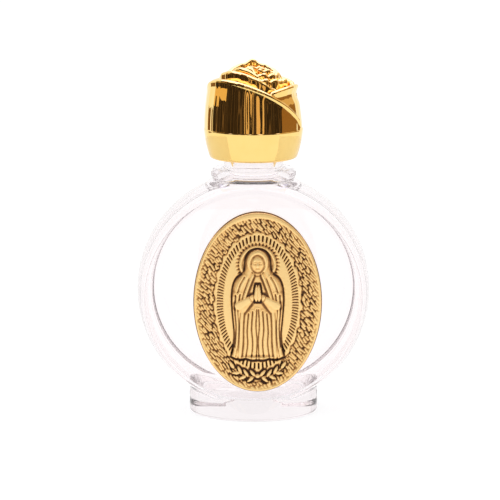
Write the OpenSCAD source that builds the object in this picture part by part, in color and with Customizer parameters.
// Small glass bottle for holy water: flat round body, oval foot, rose screw cap and an oval medallion.
// Millimetres. The origin is the middle of the foot on the table, +Z is up and the front faces -Y.

/* [Glass body] */
// Diameter of the round body, seen from the front
body_d = 44.8; // [38:0.2:54]
// Depth between the two flat faces
body_depth = 18.6; // [17.6:0.2:24]
// Height of the lowest point of the round body above the table
body_lift = 1.8; // [1:0.1:3]
// How far the rim swells out between the two faces
rim_swell = 1.6; // [0.8:0.1:2.4]
// Rounding between the rim and a flat face
edge_r = 0.7; // [0.3:0.1:1.2]
// Glass thickness of the flat faces
face_wall = 2.2; // [1.4:0.1:3]
// Glass thickness of the rim
rim_wall = 2.4; // [1.6:0.1:3.4]

/* [Foot] */
// Width of the oval foot
foot_w = 24.8; // [20:0.2:30]
// Depth of the oval foot, front to back
foot_depth = 21; // [19:0.2:26]
// Height of the oval foot, up into the round body
foot_h = 7.6; // [6.6:0.1:9]
// Height of the straight part of the foot at the front and back
foot_front_h = 2.4; // [1.6:0.1:3]
// Height of the slope above it that runs into the flat faces
foot_slope_h = 3; // [2:0.1:3.4]
// Bevel around the bottom edge of the foot
foot_bevel = 0.6; // [0.3:0.1:1.2]

/* [Neck] */
// How far the shoulder under the bead stays inside the flat faces
shoulder_inset = 0.3; // [0.1:0.1:0.6]
// Height of that shoulder below the bead
shoulder_h = 3.6; // [2.4:0.1:5]
// Diameter of the rounded bead under the cap
bead_d = 16.4; // [14.6:0.1:17]
// Height of that bead
bead_h = 2.3; // [1.4:0.1:3]
// Height of the bead's underside above the top of the round body
bead_lift = -1.1; // [-1.4:0.1:1]
// Diameter of the neck at the root of its thread
neck_d = 11.3; // [10.6:0.1:11.6]
// Height of the neck from the bead to the lip
neck_h = 10.2; // [9.4:0.1:13]
// Bore through the neck
bore_d = 7.2; // [6:0.1:8]
// Height of the funnel between the hollow body and the bore
funnel_h = 5; // [3:0.1:7]
// How much wider than the bore the funnel starts, on each side
funnel_flare = 3.2; // [1.5:0.1:4]

/* [Screw thread] */
// Rise of the thread in one turn
thread_pitch = 2.1; // [1.9:0.05:2.5]
// Height of the thread on the neck
thread_h = 0.75; // [0.5:0.05:0.9]
// Turns of thread on the neck and in the cap
thread_turns = 1.25; // [1:0.25:1.75]
// Height of the start of the neck thread above the bead
thread_start = 4.6; // [4.2:0.1:5.2]
// Width of the neck thread at its root
thread_root_w = 1.5; // [1.1:0.1:1.6]
// Width of a thread at its crest
thread_crest_w = 0.5; // [0.3:0.1:0.6]
// Radial gap between a crest and the root that it faces
thread_gap = 0.3; // [0.25:0.05:0.45]
// Height of the thread inside the cap
cap_thread_h = 0.8; // [0.5:0.05:0.85]
// Width of the cap thread at its root
cap_thread_root_w = 1.1; // [0.8:0.1:1.2]

/* [Dripper insert] */
// Thickness of the flange that lies on the lip
flange_t = 0.6; // [0.4:0.1:1]
// How far the flange stays back from the outside of the neck
flange_inset = 0.4; // [0.1:0.1:1]
// Length of the plug inside the neck
plug_h = 6; // [4:0.5:8]
// Wall of the plug
plug_wall = 1; // [0.6:0.1:1.4]
// Hole that lets the water out in drops
drip_d = 1.6; // [0.8:0.1:2.4]
// Thickness of the disc with the drip hole
drip_disc_t = 1.2; // [0.8:0.1:2]

/* [Cap] */
// Gap between the bead and the bottom of the cap
cap_gap = 1.9; // [1:0.1:3]
// Diameter of the bottom edge of the cap
cap_bottom_d = 16.6; // [16.4:0.1:18]
// Largest diameter of the cap, at the upper edge of its smooth band
cap_d = 19; // [18.4:0.1:21]
// Height of the smooth band
band_h = 5.7; // [4.5:0.1:8]
// How far the petals stand back from the edge of the band
band_step = 0.1; // [0.05:0.05:0.2]
// Height of the rose above the band
rose_h = 12.7; // [11:0.1:15]
// How far the heart of the rose sits to the right of the middle
heart_x = 2; // [0:0.1:3]
// Thickness of a petal
petal_t = 1.1; // [0.9:0.1:1.3]
// Roll of a petal's rim beyond its face
petal_lip = 0.3; // [0.1:0.05:0.4]
// Depth of the folds in the inner petals
petal_fold = 0.3; // [0:0.05:0.4]
// Length of one such fold along the rim
petal_fold_l = 1.9; // [1.6:0.1:3]
// Height of the pointed tip of the rearmost petal
petal_tip = 0.8; // [0.2:0.1:1]
// Least thickness of the plated shell over the liner's top
crown_t = 0.6; // [0.4:0.1:1]
// Thickness of the foam seal
seal_t = 1; // [0.6:0.1:1.6]
// Gap around the foam seal
seal_gap = 0.25; // [0.1:0.05:0.5]
// Wall of the threaded liner
liner_wall = 0.65; // [0.5:0.05:0.7]
// Thickness of the liner's top
liner_top_t = 1.2; // [0.8:0.1:1.8]
// How far the liner stays up from the bottom of the cap
liner_inset = 0.6; // [0.2:0.1:1.2]
// Gap between the liner and the plated shell
liner_gap = 0.05; // [0.02:0.01:0.1]

/* [Medallion] */
// Width of the oval medallion
medal_w = 24.4; // [20:0.2:28]
// Height of the oval medallion
medal_h = 34.8; // [32:0.2:37]
// Thickness of its plate
medal_t = 1; // [0.6:0.1:1.6]
// Height of the relief above the plate
relief_h = 0.5; // [0.3:0.1:0.9]
// How far its middle lies below the middle of the body
medal_drop = 0.75; // [0:0.05:1.2]
// How far its middle lies to the right of the middle of the body
medal_shift = 0.8; // [-1:0.1:1]
// Width of its smooth outer rim
medal_rim = 0.9; // [0.5:0.1:1.4]
// Width of the textured border between the rim and the inner oval
medal_border = 3; // [2:0.1:3.6]
// Thickness of the glue pad behind it
pad_t = 0.25; // [0.1:0.05:0.5]
// How far the glue pad stays back from the edge of the medallion
pad_inset = 1.2; // [0.6:0.1:3]

/* [Hidden] */
$fn = 96;
// Overshoot of a cut past the face that it opens
cut = 1;

// Heights along the axis
body_z = body_lift + body_d / 2;
bead_z = body_lift + body_d + bead_lift;
neck_z = bead_z + bead_h;
lip_z = neck_z + neck_h;
seal_z = lip_z + flange_t;
liner_ceiling_z = seal_z + seal_t;
liner_top_z = liner_ceiling_z + liner_top_t;
cap_z = neck_z + cap_gap;
liner_z = cap_z + liner_inset;
belly_z = cap_z + band_h;
cavity_top_z = body_lift + body_d - rim_wall;

// Radii
neck_r = neck_d / 2;
bore_r = bore_d / 2;
crest_r = neck_r + thread_h;
liner_bore_r = crest_r + thread_gap;
liner_r = liner_bore_r + liner_wall;
shell_bore_r = liner_r + liner_gap;
belly_r = cap_d / 2;

// Threads start this much inside the wall that carries them
thread_sunk = 0.3;
// Turn between two cross-sections of a thread
thread_step = 15;
// Turn over which a thread rises at its ends
thread_ramp = 45;

// Grid of the rose surface: azimuth steps, rows on the band, rows up the outer wall and rings of the petals
rose_cols = 72;
band_rows = 6;
wall_rows = 4;
petal_rings = 28;
// Share of the band's taper that runs straight from its upper edge
band_straight = 0.33;
// Part of the rose's radius from which the petals lean in with the barrel, and the lean at the top
lean_start = 0.68;
barrel_lean = 1.75;
// Radius and height of the core between the petals, as parts of the belly's radius and the rose's height,
// and the exponent that makes its top flatter than a ball
core_wide = 0.92;
core_high = 0.7;
core_flat = 4;
// Length over which the end of a petal's rim starts to fall, the largest part of the rim that it takes,
// and how fast the rim falls
rim_end = 1;
rim_end_part = 0.12;
rim_fall = 0.5;
// Half width of the pointed tip along the rim
tip_w = 1;

// Petals on the barrel: azimuth of the start and end, height of the rim at the start, middle and end in parts
// of the rose's height, and radius of the face at the start and end in parts of the belly's radius
outer_petals = [
    [178, 343, 0.66, 0.73, 0.13, 1.00, 1.00],
    [95, 200, 0.64, 0.71, 0.64, 0.98, 0.96],
    [291, 400, 0.60, 0.68, 0.55, 0.94, 0.98],
    [14, 122, 0.66, 0.75, 0.74, 0.94, 0.96]
];
// Petals that curl round the heart, from the outside in: the same values, then the place of the middle that
// the petal curls round, in parts of the heart's offset, its share of the folds and its share of the tip
inner_petals = [
    [172, 318, 0.76, 0.88, 0.52, 0.73, 0.70, 0.15, 0.1, 0],
    [30, 158, 0.77, 0.94, 0.80, 0.65, 0.66, 0.10, 0.1, 1],
    [180, 292, 0.85, 0.93, 0.72, 0.52, 0.48, 0.30, 0.1, 0],
    [256, 385, 0.78, 0.75, 0.72, 0.55, 0.56, 0.45, 1.0, 0],
    [10, 140, 0.77, 0.85, 0.90, 0.46, 0.46, 0.45, 0.8, 0],
    [255, 400, 0.85, 0.82, 0.80, 0.37, 0.38, 0.65, 1.0, 0],
    [40, 240, 0.86, 0.91, 0.90, 0.30, 0.28, 0.65, 0.6, 0],
    [235, 420, 0.90, 0.88, 0.87, 0.19, 0.20, 0.80, 0.8, 0],
    [60, 300, 0.90, 0.91, 0.90, 0.07, 0.06, 0.90, 0.2, 0]
];

// Signed turn from one azimuth to another, from -180 to 180
function turn_to(a, b) = let (t = (a - b) % 360) t > 180 ? t - 360 : t < -180 ? t + 360 : t;

// Smooth rise from 0 to 1
function smooth(x) = let (t = min(1, max(0, x))) t * t * (3 - 2 * t);

// Place along a petal at an azimuth, 0 at its start and 1 at its end, and beyond these past its ends
function petal_place(p, azimuth) = 0.5 + turn_to(azimuth, (p[0] + p[1]) / 2) / (p[1] - p[0]);

// Curve through three values at 0, a half and 1
function through(a, b, c, v) = 2 * a * (v - 0.5) * (v - 1) - 4 * b * v * (v - 1) + 2 * c * v * (v - 0.5);

// Length of a petal's rim along its mean radius
function rim_length(p) = belly_r * (p[5] + p[6]) / 2 * (p[1] - p[0]) * PI / 180;

// Radius of a petal's face at a place along it
function face_radius(p, v) = (belly_r - band_step) * (p[5] + (p[6] - p[5]) * min(1, max(0, v)));

// Height of a petal's rim above the band at a place along it; its two ends fall away
function rim_height(p, v) =
    let (
        length = rim_length(p),
        over = max(0, (abs(v - 0.5) - 0.5) * length + min(rim_end, rim_end_part * length))
    )
    rose_h * through(p[2], p[3], p[4], min(1, max(0, v))) - rim_fall * over * over;

// Height of a rounded rim above the band at a distance across from its middle line, or 0 beside it
function rim_round(rim, across) =
    let (half = petal_t / 2)
    abs(across) < half ? rim - half + sqrt(half * half - across * across) : 0;

// Height of a petal on the barrel; outside its face it runs down to the edge of the band
function outer_height(p, r, azimuth) =
    let (
        v = petal_place(p, azimuth),
        rim = rim_height(p, v),
        face = face_radius(p, v),
        edge = belly_r - band_step,
        skirt = r > face ? (rim - petal_t / 2) * (edge - r) / (edge - face) : 0
    )
    max(skirt, rim_round(rim, r - face - petal_lip + petal_t / 2));

// Height of a petal that curls round the heart
function inner_height(p, r, azimuth) =
    let (
        x = r * cos(azimuth) - p[7] * heart_x,
        y = r * sin(azimuth),
        v = petal_place(p, atan2(y, x)),
        along = (v - 0.5) * rim_length(p),
        fold = p[8] * petal_fold * sin(360 * along / petal_fold_l),
        tip = p[9] * petal_tip * exp(-pow(along / tip_w, 2))
    )
    rim_round(rim_height(p, v) + fold + tip, norm([x, y]) - face_radius(p, v) - fold + petal_t / 2);

// Height of the core above the band, never less than what covers the liner
function core_height(r) =
    let (cover = liner_top_z + crown_t - belly_z)
    max(
        core_high * rose_h * sqrt(max(0, 1 - pow(r / (core_wide * belly_r), core_flat))),
        r < shell_bore_r + crown_t ? cover : 0
    );

// Height of the rose above the band: the highest of its core and petals
function rose_height(r, azimuth) =
    max(concat(
        [core_height(r)],
        [for (p = outer_petals) outer_height(p, r, azimuth)],
        [for (p = inner_petals) inner_height(p, r, azimuth)]
    ));

// Point of the rose at a radius at the band, an azimuth and a height above the band; the barrel leans in
function rose_point(r, azimuth, h) =
    let (
        lean = smooth((r / belly_r - lean_start) / (1 - lean_start)),
        here = r - barrel_lean * pow(h / rose_h, 2) * lean
    )
    [here * cos(azimuth), here * sin(azimuth), belly_z + h];

// Radius of the smooth band at a share of its height
function band_radius(s) =
    belly_r - (belly_r - cap_bottom_d / 2) * (band_straight * (1 - s) + (1 - band_straight) * pow(1 - s, 2));

// Cross-section of a thread at one turn: two points in the wall and two on the crest
function thread_section(wall_r, side, height, root_w, turn, total, z) =
    let (
        ramp = min(1, turn / thread_ramp, (total - turn) / thread_ramp),
        tip_r = wall_r + side * height * ramp,
        back_r = wall_r - side * thread_sunk,
        back_w = root_w + (root_w - thread_crest_w) * thread_sunk / height,
        tip_w = root_w - (root_w - thread_crest_w) * ramp
    )
    [
        for (q = [[back_r, -back_w], [tip_r, -tip_w], [tip_r, tip_w], [back_r, back_w]])
            [q[0] * cos(turn), q[0] * sin(turn), z + thread_pitch * turn / 360 + q[1] / 2]
    ];

// Right-handed thread ridge, standing out from the wall for side 1 and in from it for side -1
module thread_ridge(wall_r, side, height, root_w, z) {
    total = 360 * thread_turns;
    steps = round(total / thread_step);
    sections = [
        for (i = [0 : steps]) thread_section(wall_r, side, height, root_w, i * total / steps, total, z)
    ];
    points = [for (s = sections) for (q = s) q];
    sides = [
        for (i = [0 : steps - 1]) for (k = [0 : 3])
            let (a = 4 * i + k, b = 4 * i + (k + 1) % 4)
            for (f = [[a, a + 4, b], [b, a + 4, b + 4]]) side > 0 ? [f[2], f[1], f[0]] : f
    ];
    last = 4 * steps;
    ends = [for (f = [[0, 1, 2], [0, 2, 3], [last + 2, last + 1, last], [last + 3, last + 2, last]])
        side > 0 ? [f[2], f[1], f[0]] : f];
    polyhedron(points, concat(sides, ends), convexity = 6);
}

// Half outline of a flat round body with a swollen rim and rounded edges, radius across and depth up
function disc_outline(r, half_depth, swell, round_r) =
    let (
        arc_r = (half_depth * half_depth + swell * swell) / (2 * swell),
        arc_x = r - arc_r,
        edge_y = half_depth - round_r,
        edge_x = arc_x + sqrt(pow(arc_r - round_r, 2) - edge_y * edge_y),
        lean = atan2(edge_y, edge_x - arc_x),
        edge_steps = 4,
        rim_steps = 8
    )
    concat(
        [[0, -half_depth]],
        [for (i = [0 : edge_steps]) let (a = -90 + (90 - lean) * i / edge_steps)
            [edge_x + round_r * cos(a), -edge_y + round_r * sin(a)]],
        [for (i = [1 : rim_steps - 1]) let (a = -lean + 2 * lean * i / rim_steps)
            [arc_x + arc_r * cos(a), arc_r * sin(a)]],
        [for (i = [0 : edge_steps]) let (a = lean + (90 - lean) * i / edge_steps)
            [edge_x + round_r * cos(a), edge_y + round_r * sin(a)]],
        [[0, half_depth]]
    );

// Flat round body about the Y axis, centred on the body's middle
module disc(r, half_depth, swell, round_r) {
    translate([0, 0, body_z])
        rotate([90, 0, 0])
            rotate_extrude()
                polygon(disc_outline(r, half_depth, swell, round_r));
}

// Oval foot, sloped at the front and back so that it runs into the flat faces
module foot() {
    r = foot_w / 2;
    front_y = foot_depth / 2;
    inside_y = min(front_y, body_depth / 2) - shoulder_inset;
    slope_top_z = foot_front_h + foot_slope_h;
    intersection() {
        scale([1, foot_depth / foot_w, 1])
            rotate_extrude()
                polygon([[0, -cut], [r - foot_bevel - cut, -cut], [r, foot_bevel], [r, foot_h], [0, foot_h]]);
        rotate([90, 0, 90])
            translate([0, 0, -foot_w])
                linear_extrude(2 * foot_w)
                    polygon([
                        [-front_y - cut, 0], [front_y + cut, 0], [front_y, foot_front_h],
                        [inside_y, slope_top_z], [inside_y, foot_h + cut],
                        [-inside_y, foot_h + cut], [-inside_y, slope_top_z], [-front_y, foot_front_h]
                    ]);
    }
}

// Shoulder, rounded bead and plain neck, from the middle of the body up
module neck_outside() {
    bead_r = bead_d / 2;
    bead_round = bead_h / 2;
    shoulder_r = body_depth / 2 - shoulder_inset;
    lip_bevel = 0.4;
    rotate_extrude()
        polygon(concat(
            [[0, body_z], [shoulder_r, body_z], [shoulder_r, bead_z - shoulder_h]],
            [for (i = [0 : 8]) let (a = -90 + 22.5 * i)
                [bead_r - bead_round + bead_round * cos(a), bead_z + bead_round + bead_round * sin(a)]],
            [[neck_r, neck_z], [neck_r, lip_z - lip_bevel], [neck_r - lip_bevel, lip_z], [0, lip_z]]
        ));
}

// Hollow of the bottle: the body, the funnel and the bore of the neck
module hollow() {
    disc(body_d / 2 - rim_wall, body_depth / 2 - face_wall, rim_swell, edge_r);
    translate([0, 0, cavity_top_z - funnel_h / 2])
        cylinder(r1 = bore_r + funnel_flare, r2 = bore_r, h = funnel_h);
    translate([0, 0, body_z])
        cylinder(r = bore_r, h = lip_z - body_z + cut);
}

module glass_bottle() {
    color([0.93, 0.95, 0.95, 0.4])
        difference() {
            union() {
                disc(body_d / 2, body_depth / 2, rim_swell, edge_r);
                foot();
                neck_outside();
                thread_ridge(neck_r, 1, thread_h, thread_root_w, neck_z + thread_start);
            }
            hollow();
        }
}

module dripper_insert() {
    flange_r = neck_r - flange_inset;
    color([0.95, 0.95, 0.94])
        difference() {
            union() {
                translate([0, 0, lip_z])
                    cylinder(r = flange_r, h = flange_t);
                translate([0, 0, lip_z - plug_h])
                    cylinder(r = bore_r, h = plug_h + flange_t / 2);
            }
            translate([0, 0, lip_z - plug_h - cut])
                cylinder(r = bore_r - plug_wall, h = plug_h + flange_t - drip_disc_t + cut);
            translate([0, 0, lip_z - plug_h])
                cylinder(r = drip_d / 2, h = plug_h + flange_t + cut);
        }
}

// Frame of the medallion: across, up and out of the front face, from the back of the glue pad
module on_front_face() {
    translate([medal_shift, -body_depth / 2, body_z - medal_drop])
        rotate([90, 0, 0])
            children();
}

// Oval plate of the medallion's proportions, drawn in by an inset all round
module oval(inset, z, h) {
    w = medal_w - 2 * inset;
    translate([0, 0, z])
        scale([1, (medal_h - 2 * inset) / w, 1])
            cylinder(d = w, h = h);
}

// Raised oval ring between two insets
module oval_ring(outer, inner, z, h) {
    difference() {
        oval(outer, z, h);
        oval(inner, z - cut, h + 2 * cut);
    }
}

// Leaf or petal with two pointed ends, from the origin along +Y
module leaf(length, width, h) {
    r = (length * length + width * width) / (4 * width);
    linear_extrude(h)
        intersection() {
            translate([r - width / 2, length / 2])
                circle(r);
            translate([width / 2 - r, length / 2])
                circle(r);
        }
}

// Praying figure in a long cloak, with a ring behind the head, on a small mound
module praying_figure(s, h) {
    head_y = 7.2 * s;
    hem_y = -9.6 * s;
    linear_extrude(h * 0.6)
        polygon([
            for (side = [1, -1]) for (q = side > 0
                ? [[0.9, 9.3], [1.9, 8], [2.1, 6], [3.5, 4.2], [3.9, 0], [3.6, -5], [4.3, -9.2], [3.2, -9.9]]
                : [[3.2, -9.9], [4.3, -9.2], [3.6, -5], [3.9, 0], [3.5, 4.2], [2.1, 6], [1.9, 8], [0.9, 9.3]])
                [side * q[0] * s, q[1] * s]
        ]);
    translate([0, head_y, 0])
        linear_extrude(h)
            circle(1.35 * s);
    translate([0, head_y, 0])
        linear_extrude(h * 0.35)
            difference() {
                circle(3.6 * s);
                circle(3 * s);
            }
    for (side = [-1, 1])
        translate([side * 2.9 * s, 0.2 * s, 0])
            rotate([0, 0, side * 40])
                leaf(5 * s, 1.8 * s, h);
    translate([0, hem_y, 0])
        linear_extrude(h * 0.5)
            intersection() {
                translate([0, -7 * s])
                    circle(8.4 * s);
                translate([-8 * s, -2.4 * s])
                    square([16 * s, 6 * s]);
            }
}

// Upright sprig of leaves beside the figure
module sprig(s, h) {
    leaves = 5;
    for (i = [0 : leaves - 1])
        for (side = [-1, 1])
            translate([0, 2.1 * s * i, 0])
                rotate([0, 0, side * 38])
                    leaf(2.6 * s, 0.9 * s, h);
    translate([-0.2 * s, -1 * s, 0])
        cube([0.4 * s, 2.1 * s * leaves, h]);
}

module medallion() {
    panel_inset = medal_rim + medal_border;
    panel_sink = 0.2;
    bead = 0.5;
    // The figure fills the inner oval at this share of its drawn size
    figure_size = (medal_h - 2 * panel_inset) / 27;
    sprig_x = (medal_w - 2 * panel_inset) * 0.34;
    color([0.83, 0.64, 0.29])
        on_front_face()
            translate([0, 0, pad_t]) {
                difference() {
                    oval(0, 0, medal_t);
                    oval(panel_inset, medal_t - panel_sink, panel_sink + cut);
                }
                oval_ring(0.15, medal_rim, medal_t / 2, medal_t / 2 + relief_h * 0.6);
                oval_ring(panel_inset - bead, panel_inset, medal_t / 2, medal_t / 2 + relief_h * 0.5);
                translate([0, 0, medal_t - panel_sink - 0.1]) {
                    praying_figure(figure_size, relief_h + panel_sink + 0.1);
                    for (side = [-1, 1])
                        translate([side * sprig_x, -7 * figure_size, 0])
                            sprig(figure_size, relief_h * 0.6 + panel_sink);
                }
            }
}

module adhesive_pad() {
    color([0.9, 0.88, 0.8])
        on_front_face()
            oval(pad_inset, 0, pad_t);
}

module inner_cap() {
    // The cap thread runs half a turn's rise below the neck thread
    thread_z = neck_z + thread_start - thread_pitch / 2;
    color([0.94, 0.94, 0.92]) {
        difference() {
            translate([0, 0, liner_z])
                cylinder(r = liner_r, h = liner_top_z - liner_z);
            translate([0, 0, liner_z - cut])
                cylinder(r = liner_bore_r, h = liner_ceiling_z - liner_z + cut);
        }
        thread_ridge(liner_bore_r, -1, cap_thread_h, cap_thread_root_w, thread_z);
    }
}

module cap_seal() {
    color([0.86, 0.87, 0.88])
        translate([0, 0, seal_z])
            cylinder(r = liner_bore_r - seal_gap, h = seal_t);
}

// Closed skin of the cap: the smooth band, the petals and the flat bottom
module rose_skin() {
    edge_round = 0.5;
    least_h = 0.1;
    first_h = 0.02;
    wall_r = belly_r - band_step;
    heart_r = 0.35;
    azimuths = [for (c = [0 : rose_cols - 1]) 360 * c / rose_cols];
    rows = concat(
        [[band_radius(0) - edge_round, cap_z]],
        [for (i = [0 : band_rows]) let (s = i / band_rows)
            [band_radius(s), max(cap_z + edge_round, cap_z + band_h * s)]]
    );
    band = [for (row = rows) for (a = azimuths) [row[0] * cos(a), row[0] * sin(a), row[1]]];
    wall = [
        for (i = [0 : wall_rows - 1]) for (a = azimuths)
            let (top = max(least_h, rose_height(wall_r, a)))
            rose_point(wall_r, a, first_h + (top - first_h) * i / wall_rows)
    ];
    rings = [
        for (i = [0 : petal_rings]) for (a = azimuths)
            let (r = wall_r + (heart_r - wall_r) * i / petal_rings)
            rose_point(r, a, max(least_h, rose_height(r, a)))
    ];
    points = concat(band, wall, rings, [rose_point(0, 0, rose_height(0, 0))]);
    row_count = len(rows) + wall_rows + petal_rings + 1;
    top = len(points) - 1;
    sides = [
        for (i = [0 : row_count - 2]) for (c = [0 : rose_cols - 1])
            let (
                a = i * rose_cols + c,
                b = i * rose_cols + (c + 1) % rose_cols
            )
            for (f = [[b, a, a + rose_cols], [b, a + rose_cols, b + rose_cols]]) f
    ];
    first = (row_count - 1) * rose_cols;
    crown = [for (c = [0 : rose_cols - 1]) [first + (c + 1) % rose_cols, first + c, top]];
    bottom = [[for (c = [0 : rose_cols - 1]) c]];
    polyhedron(points, concat(sides, crown, bottom), convexity = 10);
}

module rose_cap() {
    color([0.93, 0.72, 0.2])
        difference() {
            rose_skin();
            translate([0, 0, cap_z - cut])
                cylinder(r = shell_bore_r, h = liner_top_z - cap_z + cut);
        }
}

glass_bottle();
dripper_insert();
adhesive_pad();
medallion();
inner_cap();
cap_seal();
rose_cap();
